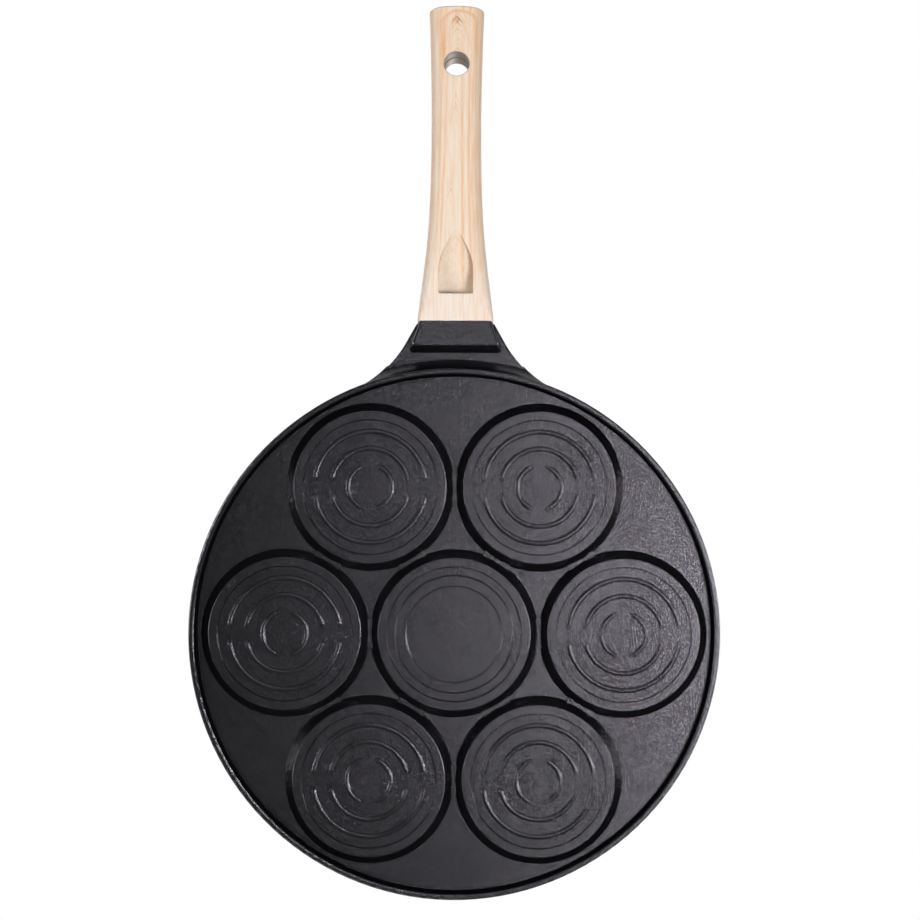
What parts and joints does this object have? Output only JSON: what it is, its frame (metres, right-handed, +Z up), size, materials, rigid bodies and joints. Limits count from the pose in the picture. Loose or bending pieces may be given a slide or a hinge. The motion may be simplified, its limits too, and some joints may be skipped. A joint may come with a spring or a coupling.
{
  "type": "pancake pan",
  "caption": "Round cast pan with shallow cups for small pancakes, a low lip, a skirt below and one straight handle with a hanging hole.",
  "frame": {"origin": "under the middle of the centre cup, in the plane the pan stands on", "axes": "+Z up with the cooking side on top, +Y along the handle, +X to the right"},
  "size_m": [0.2674, 0.4543, 0.0541],
  "materials": {
    "coating": "satin",
    "handle": "matte",
    "screw": "brushed"
  },
  "bodies": {
    "root": {"pan_body": "coating", "handle": "handle", "handle_screw": "screw", "spring_washer": "screw"}
  },
  "joints": []
}
